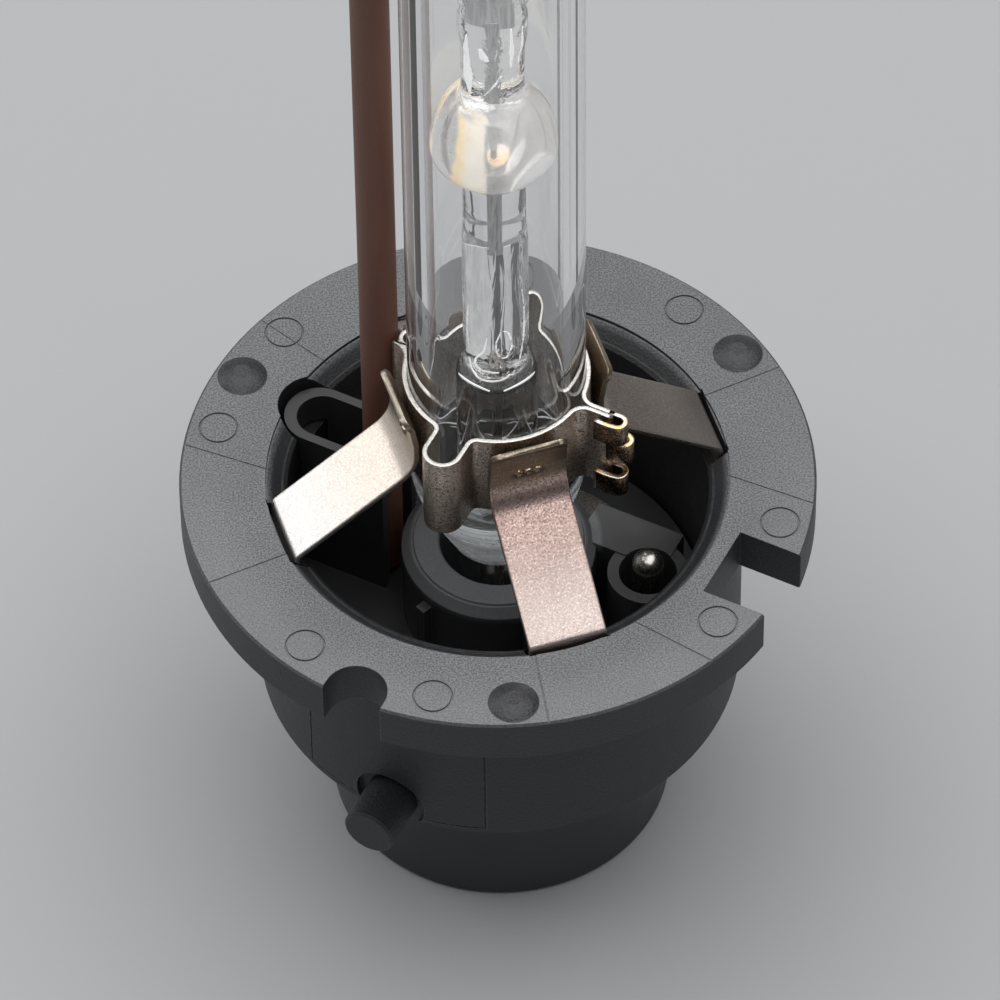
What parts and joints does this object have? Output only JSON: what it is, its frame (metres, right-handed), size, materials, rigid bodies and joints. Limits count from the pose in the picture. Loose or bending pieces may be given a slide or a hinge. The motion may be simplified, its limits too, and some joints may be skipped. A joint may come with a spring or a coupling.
{
  "type": "headlight bulb",
  "caption": "Xenon discharge headlight bulb: clear quartz burner with external return tube, sprung metal clamp and a keyed round bayonet base.",
  "frame": {"origin": "centre of the base's round bottom face, on the bulb's axis", "axes": "+Z along the bulb's axis, from the connector end towards the glass. +X and +Y lie in the flange plane, with the rectangular key notch 27.5 degrees clockwise from +X seen from the glass end and the half-round notch 117.5 degrees clockwise from +X."},
  "size_m": [0.0334, 0.0334, 0.0755],
  "materials": {
    "housing": "fine spark-eroded charcoal moulding",
    "insulator": "near-black moulding",
    "contact": "nickel-plated strip and turned pin",
    "tab_steel": "satin rolled stainless strip",
    "band_steel": "rolled stainless strip with a light heat tint",
    "quartz": "clear drawn quartz",
    "tungsten": "drawn tungsten rod",
    "molybdenum": "thin molybdenum foil",
    "lead_wire": "drawn nickel alloy wire",
    "salts": "dull yellow crust",
    "ceramic": "unglazed reddish-brown steatite"
  },
  "bodies": {
    "root": {"base_housing": "housing", "inner_insulator": "insulator", "outer_contact_ring": "contact", "return_bus_strip": "contact", "terminal_post": "contact", "centre_contact_pin": "contact", "retaining_tab_front": "tab_steel", "retaining_tab_right": "tab_steel", "retaining_tab_rear": "tab_steel", "retaining_tab_left": "tab_steel", "clamp_band": "band_steel", "outer_envelope": "quartz", "arc_tube": "quartz", "lower_electrode": "tungsten", "upper_electrode": "tungsten", "lower_foil": "molybdenum", "upper_foil": "molybdenum", "lower_lead_wire": "lead_wire", "upper_lead_wire": "lead_wire", "halide_salts": "salts", "return_wire": "lead_wire", "return_tube": "ceramic"}
  },
  "joints": []
}
